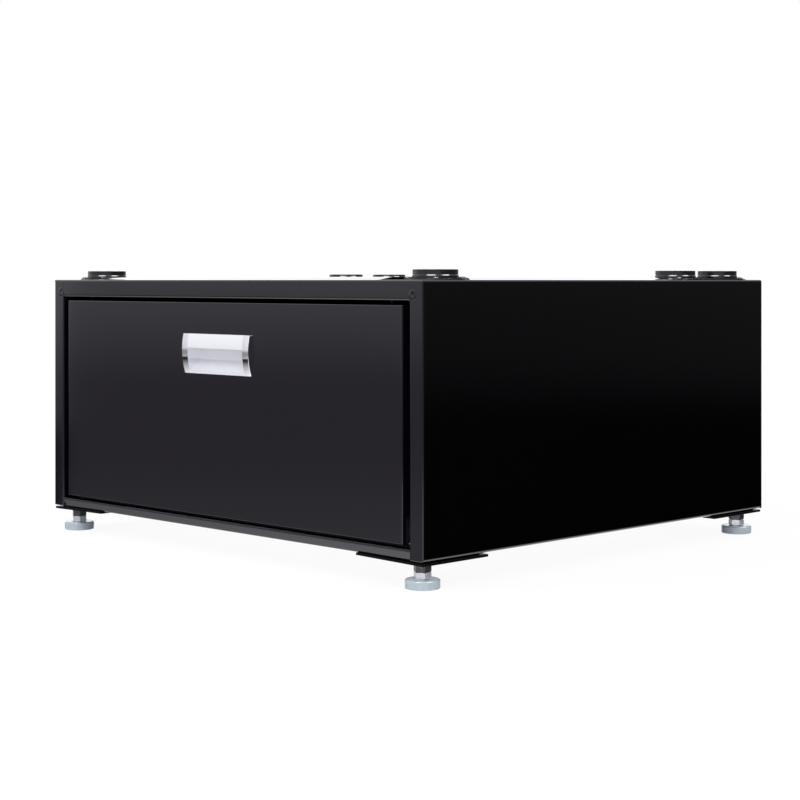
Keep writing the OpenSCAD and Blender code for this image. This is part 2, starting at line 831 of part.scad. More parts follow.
// A bright end bar, as deep as the pocket box
module handle_cap(side) {
    inner = handle_w / 2 - handle_cap_w;
    color(chrome) on_side(side) difference() {
        union() {
            along_x(inner, handle_w / 2) handle_outline();
            along_x(inner, cutout_w / 2 - hole_gap) handle_box();
        }
        translate([handle_screw_x, front_y + pocket_depth + pocket_t, handle_z])
            rotate([90, 0, 0]) screw_bore(2 * pocket_t);
    }
}

// ---- feet ---------------------------------------------------------------

module foot_pad(side, end) {
    r = pad_d / 2;
    color(pad_grey) translate([side * foot_x, end * foot_y, 0]) rotate_extrude() difference() {
        soft_rect([0, 0], [r, pad_h], [0, pad_skirt_r, pad_edge_r, 0]);
        translate([-eps, neck_z]) square([neck_r + run_gap + eps, pad_h]);
    }
}

// The stud: a neck in the pad, the adjusting hexagon and the threaded shank
module foot_stud(side, end) {
    color(zinc) translate([side * foot_x, end * foot_y, 0]) {
        translate([0, 0, neck_z + run_gap]) cylinder(r = neck_r, h = hex_z - neck_z);
        translate([0, 0, hex_z]) hexagon(hex_af, hex_h - run_gap);
        translate([0, 0, hex_z]) cylinder(r = stud_r, h = stud_top_z - 1 - hex_z);
        translate([0, 0, stud_top_z - 1]) cylinder(r1 = stud_r, r2 = stud_r - 1, h = 1);
    }
}

// ---- foot cups ----------------------------------------------------------

module plate_blank(y0, y1) {
    r = plate_d / 2;
    for (y = [y0, y1]) translate([cup_x, y, top_z]) cylinder(r = r, h = plate_t);
    if (y1 > y0) block([cup_x - r, y0, top_z], [cup_x + r, y1, plate_z]);
}

module cup_plate(side, y0, y1) {
    color(black_plastic) difference() {
        on_side(side) plate_blank(y0, y1);
        cup_screw_holes(plate_t + 1);
    }
}

// A cup for a machine's foot, with a rounded lip and a bead round its base
module cup(side, y, top) {
    r = cup_d / 2;
    h = top - plate_t;
    color(black_plastic) translate([side * cup_x, y, plate_z]) rotate_extrude() difference() {
        union() {
            soft_rect([0, 0], [r, h], [0, 0, cup_edge_r, 0]);
            translate([r - bead_r * 0.3, bead_r]) circle(bead_r);
        }
        translate([-eps, cup_floor]) square([cup_bore_d / 2 + eps, h]);
    }
}

module cup_screws() {
    color(black_paint) at_cup_screws() screw(plate_t + sheet_t + brace_t + screw_tip);
}

module back_screws() {
    color(zinc) for (x = [-back_screw_x, back_screw_x], z = back_screw_zs)
        translate([x, back_y, z]) rotate([-90, 0, 0]) {
            cylinder(d = back_screw_head_d, h = back_screw_head_h);
            translate([0, 0, -back_screw_l]) cylinder(d = screw_d, h = back_screw_l + eps);
        }
}

// ---- the pieces by name -------------------------------------------------

top_panel();
side_panel(-1);  // side_panel_left
side_panel(1);  // side_panel_right
back_panel();
front_stile(-1);  // front_stile_left
front_stile(1);  // front_stile_right
top_rail();
bottom_rail();
top_brace(-1);  // top_brace_left
top_brace(1);  // top_brace_right
gusset(-1, -1);  // gusset_front_left
gusset(1, -1);  // gusset_front_right
gusset(-1, 1);  // gusset_rear_left
gusset(1, 1);  // gusset_rear_right
foot_collars();
lock_nuts();
slide_channel(-1);  // slide_channel_left
slide_channel(1);  // slide_channel_right
slide_outer(-1);  // slide_outer_left
slide_outer(1);  // slide_outer_right
cup_plate(-1, cup_front_y, cup_front_y);  // cup_plate_front_left
cup_plate(1, cup_front_y, cup_front_y);  // cup_plate_front_right
cup_plate(-1, cup_middle_y, cup_rear_y);  // cup_plate_rear_left
cup_plate(1, cup_middle_y, cup_rear_y);  // cup_plate_rear_right
cup(-1, cup_front_y, cup_top);  // cup_front_left
cup(1, cup_front_y, cup_top);  // cup_front_right
cup(-1, cup_middle_y, low_cup_top);  // cup_middle_left
cup(1, cup_middle_y, cup_top);  // cup_middle_right
cup(-1, cup_rear_y, low_cup_top);  // cup_rear_left
cup(1, cup_rear_y, cup_top);  // cup_rear_right
cup_screws();
back_screws();
channel_screws();
slide_middle(-1);  // slide_middle_left
slide_middle(1);  // slide_middle_right
ball_cage_outer(-1);  // ball_cage_outer_left
ball_cage_outer(1);  // ball_cage_outer_right
ball_cage_inner(-1);  // ball_cage_inner_left
ball_cage_inner(1);  // ball_cage_inner_right
slide_inner(-1);  // slide_inner_left
slide_inner(1);  // slide_inner_right
drawer_side(-1);  // drawer_side_left
drawer_side(1);  // drawer_side_right
drawer_back();
drawer_bottom();
drawer_front();
front_liner();
drawer_screws();
handle_body();
handle_cap(-1);  // handle_cap_left
handle_cap(1);  // handle_cap_right
foot_pad(-1, -1);  // foot_pad_front_left
foot_pad(1, -1);  // foot_pad_front_right
foot_pad(-1, 1);  // foot_pad_rear_left
foot_pad(1, 1);  // foot_pad_rear_right
foot_stud(-1, -1);  // foot_stud_front_left
foot_stud(1, -1);  // foot_stud_front_right
foot_stud(-1, 1);  // foot_stud_rear_left
foot_stud(1, 1);  // foot_stud_rear_right
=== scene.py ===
"""A black washer pedestal with one drawer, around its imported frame. Metres, +Z up, front towards -Y."""
import json
from math import cos, pi, radians, sin, sqrt

import bmesh
import bpy
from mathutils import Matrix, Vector


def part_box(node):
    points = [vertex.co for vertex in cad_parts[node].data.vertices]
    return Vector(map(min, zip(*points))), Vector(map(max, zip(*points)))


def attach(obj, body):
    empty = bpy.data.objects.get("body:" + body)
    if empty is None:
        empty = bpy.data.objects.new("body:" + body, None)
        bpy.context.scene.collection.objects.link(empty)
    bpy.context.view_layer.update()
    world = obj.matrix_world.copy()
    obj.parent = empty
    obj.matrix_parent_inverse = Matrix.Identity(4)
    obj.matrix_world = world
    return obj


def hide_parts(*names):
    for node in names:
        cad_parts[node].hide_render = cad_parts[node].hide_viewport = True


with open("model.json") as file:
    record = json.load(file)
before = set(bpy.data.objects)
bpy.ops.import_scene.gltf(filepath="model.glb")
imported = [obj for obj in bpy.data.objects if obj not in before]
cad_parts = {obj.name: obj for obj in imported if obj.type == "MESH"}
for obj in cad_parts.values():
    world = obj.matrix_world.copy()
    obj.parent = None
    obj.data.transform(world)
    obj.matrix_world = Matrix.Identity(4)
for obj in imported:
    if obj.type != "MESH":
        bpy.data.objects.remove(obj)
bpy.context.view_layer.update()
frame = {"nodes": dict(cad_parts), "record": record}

NODES = frame["nodes"]
BODY = {node: body for body, nodes in frame["record"]["behaviour"]["bodies"].items() for node in nodes}
SLOT = {part["node"]: part["material_slot"] for part in frame["record"]["subparts"]}
SIDES = {"left": -1, "right": 1}
CORNERS = [f"{end}_{side}" for end in ("front", "rear") for side in SIDES]
MM = 0.001


# ---- shader maths -------------------------------------------------------

class Sock:
    """A socket that can be added to, multiplied and compared; every operator adds a Math node."""

    def __init__(self, tree, socket):
        self.tree, self.socket = tree, socket

    def math(self, operation, *values):
        return self.tree.node("ShaderNodeMath", {"operation": operation}, *values)

    def __add__(self, other):
        return self.math("ADD", self, other)

    def __radd__(self, other):
        return self.math("ADD", other, self)

    def __sub__(self, other):
        return self.math("SUBTRACT", self, other)

    def __rsub__(self, other):
        return self.math("SUBTRACT", other, self)

    def __mul__(self, other):
        return self.math("MULTIPLY", self, other)

    def __rmul__(self, other):
        return self.math("MULTIPLY", other, self)

    def ramp(self, low, high):
        """0 below low and 1 above high, smooth in between."""
        return self.tree.node("ShaderNodeMapRange", {"interpolation_type": "SMOOTHSTEP"},
                              self, low, high, 0.0, 1.0)


class Tree:
    """A node tree that is written as expressions."""

    def __init__(self, tree):
        self.tree = tree
        tree.nodes.clear()

    def node(self, kind, settings=None, *values, out=0, **named):
        made = self.tree.nodes.new(kind)
        for name, value in (settings or {}).items():
            setattr(made, name, value)
        for place, value in list(enumerate(values)) + list(named.items()):
            key = place if isinstance(place, int) else place.replace("_", " ")
            self.feed(made.inputs[key], value)
        return Sock(self, made.outputs[out])

    def feed(self, socket, value):
        if isinstance(value, Sock):
            self.tree.links.new(value.socket, socket)
        elif value is not None:
            socket.default_value = value

    def stops(self, value, places):
        """A colour ramp over value; each stop is a place from 0 to 1 and a colour."""
        made = self.tree.nodes.new("ShaderNodeValToRGB")
        elements = made.color_ramp.elements
        while len(elements) < len(places):
            elements.new(0.5)
        for element, (place, colour) in zip(elements, places):
            element.position, element.color = place, (*colour, 1.0)
        self.feed(made.inputs[0], value)
        return Sock(self, made.outputs[0])

    def place(self):
        return self.node("ShaderNodeTexCoord", None, out=3)

    def noise(self, scale, detail=3.0, roughness=0.5, stretch=None):
        where = self.place()
        if stretch:
            where = self.node("ShaderNodeMapping", None, where, None, None, stretch)
        return self.node("ShaderNodeTexNoise", None, Vector=where, Scale=scale, Detail=detail,
                         Roughness=roughness)

    def cells(self, scale):
        return self.node("ShaderNodeTexVoronoi", None, out=1, Vector=self.place(), Scale=scale)

    def mix(self, factor, first, second):
        made = self.tree.nodes.new("ShaderNodeMix")
        made.data_type = "RGBA"
        self.feed(made.inputs[0], factor)
        for socket, colour in ((made.inputs[6], first), (made.inputs[7], second)):
            self.feed(socket, colour if isinstance(colour, Sock) else (*colour, 1.0))
        return Sock(self, made.outputs[2])

    def grey(self, colour):
        return self.node("ShaderNodeRGBToBW", None, colour)

    def bump(self, height, strength, distance):
        return self.node("ShaderNodeBump", None, Strength=strength, Distance=distance, Height=height)


def material(name, build, **constants):
    """A Principled material; build(tree) returns what varies, and constants stay on their sockets."""
    made = bpy.data.materials.new(name)
    made.use_nodes = True
    tree = Tree(made.node_tree)
    shader = tree.tree.nodes.new("ShaderNodeBsdfPrincipled")
    for key, value in {**constants, **build(tree)}.items():
        tree.feed(shader.inputs[key.replace("_", " ")], value)
    surface = tree.tree.nodes.new("ShaderNodeOutputMaterial")
    tree.tree.links.new(shader.outputs[0], surface.inputs[0])
    return made


# ---- finishes -----------------------------------------------------------

def gloss_paint(name, shade, peel, dust, roughness, shine=0.5):
    """Baked black paint: faint orange peel, a film of fine dust and a little haze."""
    def build(t):
        film = t.noise(9.0, 4.0)
        specks = t.noise(900.0, 2.0).ramp(0.72, 0.8)
        haze = t.noise(3.0, 2.0, 0.6).ramp(0.35, 0.7)
        skin = t.noise(420.0, 2.0) + t.noise(60.0, 2.0) * 0.6
        dusty = tuple(c + 0.02 for c in shade)
        return {
            "Base_Color": t.mix(specks * dust + film * dust * 0.2, shade, dusty),
            "Roughness": roughness + haze * 0.03 + specks * 0.05,
            "Normal": t.bump(skin, peel, 0.0002),
        }
    return material(name, build, IOR=1.5, Specular_IOR_Level=shine)


def moulded_plastic(name, shade, worn, roughness, grain):
    """Moulded plastic: fine grain, lighter where it has been rubbed."""
    def build(t):
        wear = t.noise(60.0, 4.0).ramp(0.5, 0.75)
        return {
            "Base_Color": t.mix(wear, shade, worn),
            "Roughness": roughness + wear * 0.1,
            "Normal": t.bump(t.noise(1400.0, 2.0), grain, 0.0002),
        }
    return material(name, build)


def blackened_steel():
    """Lock nuts: an oiled black finish, worn thin in random patches."""
    def build(t):
        worn = t.noise(260.0, 4.0).ramp(0.55, 0.75)
        return {
            "Base_Color": t.mix(worn, (0.1, 0.1, 0.105), (0.17, 0.17, 0.18)),
            "Roughness": 0.22 + worn * 0.2,
            "Metallic": 0.5 + worn * 0.3,
            "Normal": t.bump(t.noise(500.0, 3.0), 0.3, 0.0002),
        }
    return material("blackened_steel", build)


def galvanised(name, shade, spot, metal, roughness):
    """Zinc-coated sheet and hardware, with a soft spangle."""
    def build(t):
        spangle = t.grey(t.cells(160.0))
        dull = t.noise(240.0, 3.0).ramp(0.5, 0.75)
        return {
            "Base_Color": t.mix(spangle * 0.5, shade, spot),
            "Roughness": roughness + dull * 0.08 + spangle * 0.03,
            "Normal": t.bump(t.noise(900.0, 2.0), 0.12, 0.0001),
        }
    return material(name, build, Metallic=metal)


def satin_pull():
    """The pull's body: satin metallic lacquer, brushed along its length."""
    def build(t):
        lines = t.noise(1.0, 2.0, 0.6, stretch=(60.0, 2600.0, 2600.0))
        film = t.noise(40.0, 3.0)
        return {
            "Base_Color": t.mix(film * 0.5, (0.85, 0.855, 0.89), (0.81, 0.82, 0.86)),
            "Roughness": 0.28 + lines * 0.08,
            "Normal": t.bump(lines, 0.06, 0.0001),
        }
    return material("satin_pull", build, Metallic=0.25)


def polished_bar():
    """The pull's end bars: bright plating with the odd fine mark."""
    def build(t):
        marks = t.noise(1.0, 3.0, 0.6, stretch=(900.0, 900.0, 60.0)).ramp(0.66, 0.74)
        cloud = t.noise(120.0, 3.0)
        return {
            "Base_Color": t.mix(cloud * 0.3, (0.95, 0.95, 0.97), (0.86, 0.87, 0.89)),
            "Roughness": 0.03 + marks * 0.12 + cloud * 0.02,
            "Normal": t.bump(marks, 0.05, 0.0001),
        }
    return material("polished_bar", build, Metallic=1.0)


FINISH = {
    "gloss_black_paint": gloss_paint("frame_gloss", (0.0036, 0.0026, 0.0062), 0.05, 0.12, 0.05),
    "drawer_gloss": gloss_paint("drawer_gloss", (0.0036, 0.0024, 0.0064), 0.03, 0.08, 0.03),
    # The side and back sheets: the frame's black paint made darker, as painted shade for the faces turned
    # away from the light.
    "black_paint": gloss_paint("sheet_gloss_painted_shade", (0.0009, 0.0009, 0.0013), 0.06, 0.1, 0.05),
    # The plates under the cabinet: the black paint made duller, and darker as painted shade under the
    # cabinet.
    "corner_plates": gloss_paint("plate_dull_painted_shade", (0.0012, 0.0012, 0.0015), 0.1, 0.2, 0.3, 0.12),
    "black_plastic": moulded_plastic("cup_plastic", (0.005, 0.005, 0.006), (0.011, 0.011, 0.012), 0.14, 0.3),
    "black_oxide": blackened_steel(),
    "zinc": galvanised("galvanised_sheet", (0.46, 0.48, 0.5), (0.38, 0.4, 0.42), 0.6, 0.36),
    "bright_zinc": galvanised("plated_stud", (0.95, 0.97, 1.0), (0.82, 0.85, 0.89), 0.5, 0.2),
    "satin_metal": satin_pull(),
    "polished_metal": polished_bar(),
    "grey_plastic": moulded_plastic("pad_plastic", (0.52, 0.6, 0.66), (0.44, 0.52, 0.58), 0.14, 0.25),
}


# ---- the studio ---------------------------------------------------------

def camera():
    """Level with the cabinet's top edge, at its front right corner, through a long lens."""
    lens = bpy.data.cameras.new("camera")
    lens.sensor_width = 36.0
    lens.lens = 79.08
    lens.shift_y = -0.1502
    lens.clip_end = 60.0
    eye = bpy.data.objects.new("camera", lens)
    eye.location = (1.43458, -1.43972, 0.28991)
    eye.rotation_euler = (radians(90.0), 0.0, radians(45.07))
    bpy.context.scene.collection.objects.link(eye)
    bpy.context.scene.camera = eye


# Where the two soft boxes above the cabinet's right-hand side hang, seen from it
SOFTBOXES = ((0.202, -0.61, 0.766), (0.594, 0.246, 0.766))


def light_at(*stops):
    """Ramp stops from heights -1 to 1 and how light the studio is there, slightly lilac."""
    return [((height + 1.0) / 2.0, (light * 0.985, light * 0.975, light * 1.03)) for height, light in stops]


def studio_world():
    """White to the camera, even to matt surfaces, and a graded studio to glossy ones.

    In a mirror the studio is white above and on the floor, with a dark edge where the white sweep ends,
    and darker behind the cabinet."""
    world = bpy.data.worlds.new("studio")
    bpy.context.scene.world = world
    world.use_nodes = True
    t = Tree(world.node_tree)
    direction = t.node("ShaderNodeTexCoord", None, out=0)
    split = t.node("ShaderNodeSeparateXYZ", None, direction)
    height = Sock(t, split.socket.node.outputs[2]) * 0.5 + 0.5
    ahead = t.node("ShaderNodeVectorMath", {"operation": "DOT_PRODUCT"}, direction,
                   (-0.708, -0.706, 0.0), out=1)
    front = t.stops(height, light_at(
        (-1.0, 2.0), (-0.8, 1.8), (-0.58, 1.6), (-0.42, 0.95), (-0.3, 0.45), (-0.21, 0.03), (-0.167, 0.03),
        (-0.162, 0.58), (-0.145, 0.45), (-0.102, 0.313), (-0.057, 0.313), (-0.04, 0.47), (-0.017, 0.71),
        (0.0, 0.8), (0.1, 0.9), (0.5, 1.05), (1.0, 1.15)))
    across, along = (Sock(t, split.socket.node.outputs[i]) for i in (0, 1))
    fall = t.node("ShaderNodeMapRange", None, across * -1.0, 0.7, 0.86, 1.04, 0.66)
    past = across.math("DIVIDE", across, along).ramp(1.471, 1.4745) * height.ramp(0.36, 0.41)
    corner = t.node("ShaderNodeMapRange", None, height, 0.455, 0.463, 0.15, 1.8)
    fall = fall * (1.0 + past * (corner - 1.0))
    front = t.node("ShaderNodeVectorMath", {"operation": "SCALE"}, front, Scale=fall)
    sides = t.stops(height, light_at(
        (-1.0, 2.0), (-0.6, 1.9), (-0.3, 1.6), (-0.12, 1.5), (-0.11, 0.35), (0.0, 0.35), (0.06, 0.9),
        (0.11, 1.75), (0.25, 1.75), (0.4, 0.95), (1.0, 1.15)))
    back = t.stops(height, light_at(
        (-1.0, 2.0), (-0.7, 1.9), (-0.5, 1.5), (-0.3, 0.3), (-0.2, 0.0), (-0.075, 0.0), (-0.059, 0.036),
        (-0.045, 0.058), (-0.02, 0.07), (0.0, 0.088), (0.15, 0.4), (0.5, 0.9), (1.0, 1.15)))
    room = t.mix(ahead.ramp(-0.2, -0.75), sides, back)
    room = t.mix(ahead.ramp(0.2, 0.7), room, front)
    for aim in SOFTBOXES:
        towards = t.node("ShaderNodeVectorMath", {"operation": "DOT_PRODUCT"}, direction, aim, out=1)
        room = t.mix(towards.ramp(0.945, 0.965), room, (20.0, 20.0, 20.6))
    path = t.tree.nodes.new("ShaderNodeLightPath")
    seen, mirrored = (Sock(t, path.outputs[k]) for k in ("Is Camera Ray", "Is Glossy Ray"))
    colour = t.mix(mirrored, (0.8, 0.8, 0.82), room)
    colour = t.mix(seen, colour, (1.0, 1.0, 1.0))
    background = t.tree.nodes.new("ShaderNodeBackground")
    t.feed(background.inputs[0], colour)
    surface = t.tree.nodes.new("ShaderNodeOutputWorld")
    t.tree.links.new(background.outputs[0], surface.inputs[0])


def studio_floor():
    """A white sweep that keeps a faint shadow. In a mirror the studio's own floor is seen instead."""
    bpy.ops.mesh.primitive_plane_add(size=40.0, location=(0.0, 0.0, 0.0))
    floor = bpy.context.object
    floor.name = "studio_floor"
    floor.visible_glossy = False
    made = bpy.data.materials.new("studio_floor")
    made.use_nodes = True
    t = Tree(made.node_tree)
    path = t.tree.nodes.new("ShaderNodeLightPath")
    seen = Sock(t, path.outputs["Is Camera Ray"])
    lit = t.node("ShaderNodeBsdfDiffuse", None, (0.9, 0.9, 0.9, 1.0))
    white = t.node("ShaderNodeEmission", None, (1.0, 1.0, 1.0, 1.0), 1.03)
    sweep = t.node("ShaderNodeMixShader", None, 0.9, lit, white)
    shown = t.node("ShaderNodeMixShader", None, seen, lit, sweep)
    surface = t.tree.nodes.new("ShaderNodeOutputMaterial")
    t.tree.links.new(shown.socket, surface.inputs[0])
    floor.data.materials.append(made)


def lamp(name, place, aim, size, power):
    light = bpy.data.lights.new(name, "AREA")
    light.size = size
    light.energy = power
    holder = bpy.data.objects.new(name, light)
    holder.location = place
    holder.rotation_euler = (Vector(aim) - Vector(place)).to_track_quat("-Z", "Y").to_euler()
    holder.visible_glossy = False
    bpy.context.scene.collection.objects.link(holder)


# ---- shaping ------------------------------------------------------------

def focus(piece):
    bpy.ops.object.select_all(action="DESELECT")
    piece.select_set(True)
    bpy.context.view_layer.objects.active = piece


def edit(piece, mode="FACE"):
    focus(piece)
    bpy.ops.object.mode_set(mode="EDIT")
    bpy.ops.mesh.select_mode(type=mode)
    bpy.ops.mesh.select_all(action="DESELECT")


def leave():
    bpy.ops.object.mode_set(mode="OBJECT")


def pick(piece, kind, test):
    """In edit mode, selects only the faces, edges or verts that pass the test."""
    mesh = bmesh.from_edit_mesh(piece.data)
    mesh.normal_update()
    for element in (*mesh.faces, *mesh.edges, *mesh.verts):
        element.select = False
    for element in getattr(mesh, kind):
        if test(element):
            element.select_set(True)
    bmesh.update_edit_mesh(piece.data)


def modify(piece, kind, **settings):
    """Adds a modifier and applies it."""
    focus(piece)
    modifier = piece.modifiers.new(kind.lower(), kind)
    for name, value in settings.items():
        setattr(modifier, name, value)
    bpy.ops.object.modifier_apply(modifier=modifier.name)


def soften(piece, width, segments=2, angle=30.0):
    """Rounds the sharp edges."""
    modify(piece, "BEVEL", width=width, segments=segments, limit_method="ANGLE",
           angle_limit=radians(angle), miter_outer="MITER_ARC" if segments > 2 else "MITER_SHARP")


def smooth(piece, angle=35.0):
    """Smooth shading but for the sharp edges, with the flats kept flat."""
    focus(piece)
    bpy.ops.object.shade_smooth_by_angle(angle=radians(angle))
    modify(piece, "WEIGHTED_NORMAL", mode="FACE_AREA", weight=100, keep_sharp=True)


def tidy(piece, merge=0.002 * MM):
    """Merges doubles, closes the mesh's poles and turns its faces outwards."""
    edit(piece, "VERT")
    bpy.ops.mesh.select_all(action="SELECT")
    bpy.ops.mesh.remove_doubles(threshold=merge)
    bpy.ops.mesh.normals_make_consistent(inside=False)
    leave()


def outline(name, points, close=True):
    """A new piece that is a line through the points, left in edit mode with the line selected."""
    bpy.ops.object.select_all(action="DESELECT")
    bpy.ops.mesh.primitive_plane_add(size=MM, location=points[0])
    piece = bpy.context.object
    piece.name = name
    bpy.ops.object.transform_apply(location=True)
    bpy.ops.object.mode_set(mode="EDIT")
    bpy.ops.mesh.select_mode(type="VERT")
    bpy.ops.mesh.merge(type="CENTER")
    for here, there in zip(points, points[1:]):
        step = Vector(there) - Vector(here)
        bpy.ops.mesh.extrude_region_move(TRANSFORM_OT_translate={"value": step})
    if close:
        pick(piece, "verts", lambda v: len(v.link_edges) < 2)
        bpy.ops.mesh.edge_face_add()
    bpy.ops.mesh.select_all(action="SELECT")
    return piece


def drawn(name, points, along):
    """A closed outline filled and drawn out."""
    piece = outline(name, points)
    bpy.ops.mesh.edge_face_add()
    bpy.ops.mesh.extrude_region_move(TRANSFORM_OT_translate={"value": along})
    leave()
    tidy(piece)
    return piece


def turned(name, centre, profile, steps=72, close=True):
    """A profile of (radius, height) pairs in millimetres, spun round an upright axis."""
    x, y = centre
    points = [(x + r * MM, y, z * MM) for r, z in profile]
    piece = outline(name, points, close)
    bpy.ops.mesh.spin(steps=steps, angle=2.0 * pi, center=(x, y, 0.0), axis=(0.0, 0.0, 1.0))
    leave()
    tidy(piece)
    return piece


def arc(centre, radius, start, end, steps):
    """Points of an arc in a section; the angles are in degrees."""
    (u, v) = centre
    angles = [radians(start + (end - start) * i / steps) for i in range(steps + 1)]
    return [(u + radius * cos(a), v + radius * sin(a)) for a in angles]


def copied(piece, name, shift=(0.0, 0.0, 0.0), mirror=False):
    """A copy with its own mesh, moved, or mirrored across the cabinet's middle."""
    twin = piece.copy()
    twin.data = piece.data.copy()
    twin.name = name
    bpy.context.scene.collection.objects.link(twin)
    edit(twin, "VERT")
    bpy.ops.mesh.select_all(action="SELECT")
    if mirror:
        bpy.ops.transform.mirror(constraint_axis=(True, False, False), orient_type="GLOBAL",
                                 center_override=(0.0, 0.0, 0.0))
        bpy.ops.mesh.normals_make_consistent(inside=False)
    bpy.ops.transform.translate(value=shift)
    leave()
    return twin


def joined(pieces, name):
    """One piece made of several."""
    focus(pieces[0])
    for piece in pieces:
        piece.select_set(True)
    bpy.ops.object.join()
    pieces[0].name = name
    return pieces[0]


def cut(piece, tool):
    """Takes the tool's shape out of the piece."""
    modify(piece, "BOOLEAN", operation="DIFFERENCE", solver="EXACT", object=tool)
    bpy.data.objects.remove(tool)


def stand_for(piece, *nodes, finish=None):
    """The piece takes the first node's body, slot and finish, and is shown in place of them all."""
    slot = SLOT[nodes[0]]
    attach(piece, BODY[nodes[0]])
    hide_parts(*nodes)
    piece.data.materials.clear()
    piece.data.materials.append(FINISH[finish or slot])
    return piece


def dress(node, width, segments=2, angle=30.0, finish=None):
    """The node's own form with its doubles merged, its flats made whole and its edges rounded."""
    bpy.ops.object.select_all(action="DESELECT")
    piece = bpy.data.objects.new(f"{node}_formed", NODES[node].data.copy())
    bpy.context.scene.collection.objects.link(piece)
    edit(piece, "VERT")
    bpy.ops.mesh.select_all(action="SELECT")
    bpy.ops.mesh.remove_doubles(threshold=0.002 * MM)
    bpy.ops.mesh.dissolve_limited(angle_limit=radians(0.3))
    leave()
    soften(piece, width, segments, angle)
    smooth(piece)
    return stand_for(piece, node, finish=finish)


def middle(node):
    low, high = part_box(node)
    return (low + high) / 2.0


# ---- cabinet ------------------------------------------------------------

def pressed_top():
    """The top sheet: a rounded edge, a crown that rises smoothly, and flat seats for the cups."""
    low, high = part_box("top_panel")
    bend, rim, slope, steps = 2.0 * MM, 2.0 * MM, 24.0 * MM, 8
    rise = high.z - (low.z + bend)
    bpy.ops.object.select_all(action="DESELECT")
    bpy.ops.mesh.primitive_plane_add(size=1.0, location=(0.0, 0.0, low.z))
    piece = bpy.context.object
    piece.name = "top_panel_pressed"
    piece.scale = (high.x - low.x, high.y - low.y, 1.0)
    bpy.ops.object.transform_apply(location=True, scale=True)
    edit(piece)
    bpy.ops.mesh.select_all(action="SELECT")
    bpy.ops.mesh.extrude_region_move(TRANSFORM_OT_translate={"value": (0.0, 0.0, bend)})
    pick(piece, "edges", lambda e: all(v.co.z > low.z + bend / 2 for v in e.verts))
    bpy.ops.mesh.bevel(offset=bend, segments=6, affect="EDGES")
    pick(piece, "faces", lambda f: f.normal.z > 0.99 and f.calc_area() > 0.1)
    bpy.ops.mesh.inset(thickness=rim, depth=0.0)
    for step in range(steps):
        here, there = (0.5 - 0.5 * cos(pi * s / steps) for s in (step, step + 1))
        bpy.ops.mesh.inset(thickness=slope / steps, depth=0.0)
        bpy.ops.transform.translate(value=(0.0, 0.0, rise * (there - here)))
    leave()
    seat = 33.0 * MM
    for side in SIDES.values():
        for y0, y1 in ((middle("cup_front_left").y,) * 2,
                       (middle("cup_middle_left").y, middle("cup_rear_left").y)):
            x = side * middle("cup_front_right").x
            ring = [(x + u, y0 + v) for u, v in arc((0.0, 0.0), seat, 180.0, 360.0, 32)]
            if y0 == y1:
                ring = [(x - seat, low.y - seat), (x + seat, low.y - seat)]
            ring += [(x + u, y1 + v) for u, v in arc((0.0, 0.0), seat, 0.0, 180.0, 32)]
            floor_z = low.z + bend
            tool = drawn("seat_cutter", [(u, v, floor_z) for u, v in ring], (0.0, 0.0, 2.0 * rise))
            cut(piece, tool)
    soften(piece, 0.9 * MM, 3, 40.0)
    edit(piece)
    pick(piece, "faces", lambda f: f.normal.z < -0.9 and f.calc_center_median().z < low.z + 0.1 * MM)
    bpy.ops.mesh.delete(type="FACE")
    leave()
    modify(piece, "SOLIDIFY", thickness=1.2 * MM, offset=-1.0)
    smooth(piece, 30.0)
    return stand_for(piece, "top_panel")


def bottom_rail():
    """The rail under the drawer: a small lip, a face that leans under, and a dust stop along its back.

    The stop leans back, so that it mirrors the dark underside of the drawer front."""
    low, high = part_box("bottom_rail")
    face, top, lap = low.y, low.z + 10.0 * MM, 1.5 * MM
    deep = (high.y - low.y) / MM
    stop = (high.z - top) / MM
    section = [(deep, 10.0), (deep, 0.2 - stop), (deep - 0.2, -stop), (deep - 0.35, 0.1 - stop),
               (deep - 1.5, 0.0), (0.7, 0.0), (0.2, 0.2), (0.0, 0.6), (0.0, 1.3), (0.2, 2.0), (0.5, 2.9),
               (0.85, 3.9), (1.2, 4.9), (1.55, 5.9), (1.9, 6.9), (2.25, 7.9), (2.6, 8.9), (2.8, 9.4),
               (3.2, 9.85), (3.9, 10.0)]
    piece = drawn("bottom_rail_rolled", [(low.x - lap, face + u * MM, top - v * MM) for u, v in section],
                  (high.x - low.x + 2.0 * lap, 0.0, 0.0))
    smooth(piece, 40.0)
    return stand_for(piece, "bottom_rail")


def corner_weld(side):
    """The ground weld that fills the seam between the top rail and a stile, and its mark."""
    rail_low, rail_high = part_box("top_rail")
    edge, face = side * rail_high.x, rail_low.y
    fill = drawn("weld_fill", [(edge, face, rail_low.z), (edge + side * 2.2 * MM, face, rail_low.z),
                               (edge + side * 2.2 * MM, face + 2.0 * MM, rail_low.z),
                               (edge, face + 2.0 * MM, rail_low.z)],
                 (0.0, 0.0, rail_high.z - rail_low.z))
    mark = turned("weld_mark", (0.0, 0.0), [
        (0.0, 0.12), (1.6, 0.14), (3.0, 0.26), (3.9, 0.3), (4.7, 0.16), (5.3, -0.1), (5.5, -0.4)],
                  40, close=False)
    edit(mark, "VERT")
    bpy.ops.mesh.select_all(action="SELECT")
    bpy.ops.transform.rotate(value=radians(-90.0), orient_axis="X", center_override=(0.0, 0.0, 0.0))
    bpy.ops.transform.translate(value=(edge + side * 4.7 * MM, face, rail_low.z + 6.1 * MM))
    leave()
    return [fill, mark]


def frame_welds():
    piece = joined([part for side in SIDES.values() for part in corner_weld(side)], "frame_welds")
    smooth(piece, 40.0)
    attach(piece, "cabinet")
    piece.data.materials.append(FINISH["gloss_black_paint"])


PLATE_RISE = 1.5 * MM
PLATE_END = 18.0 * MM


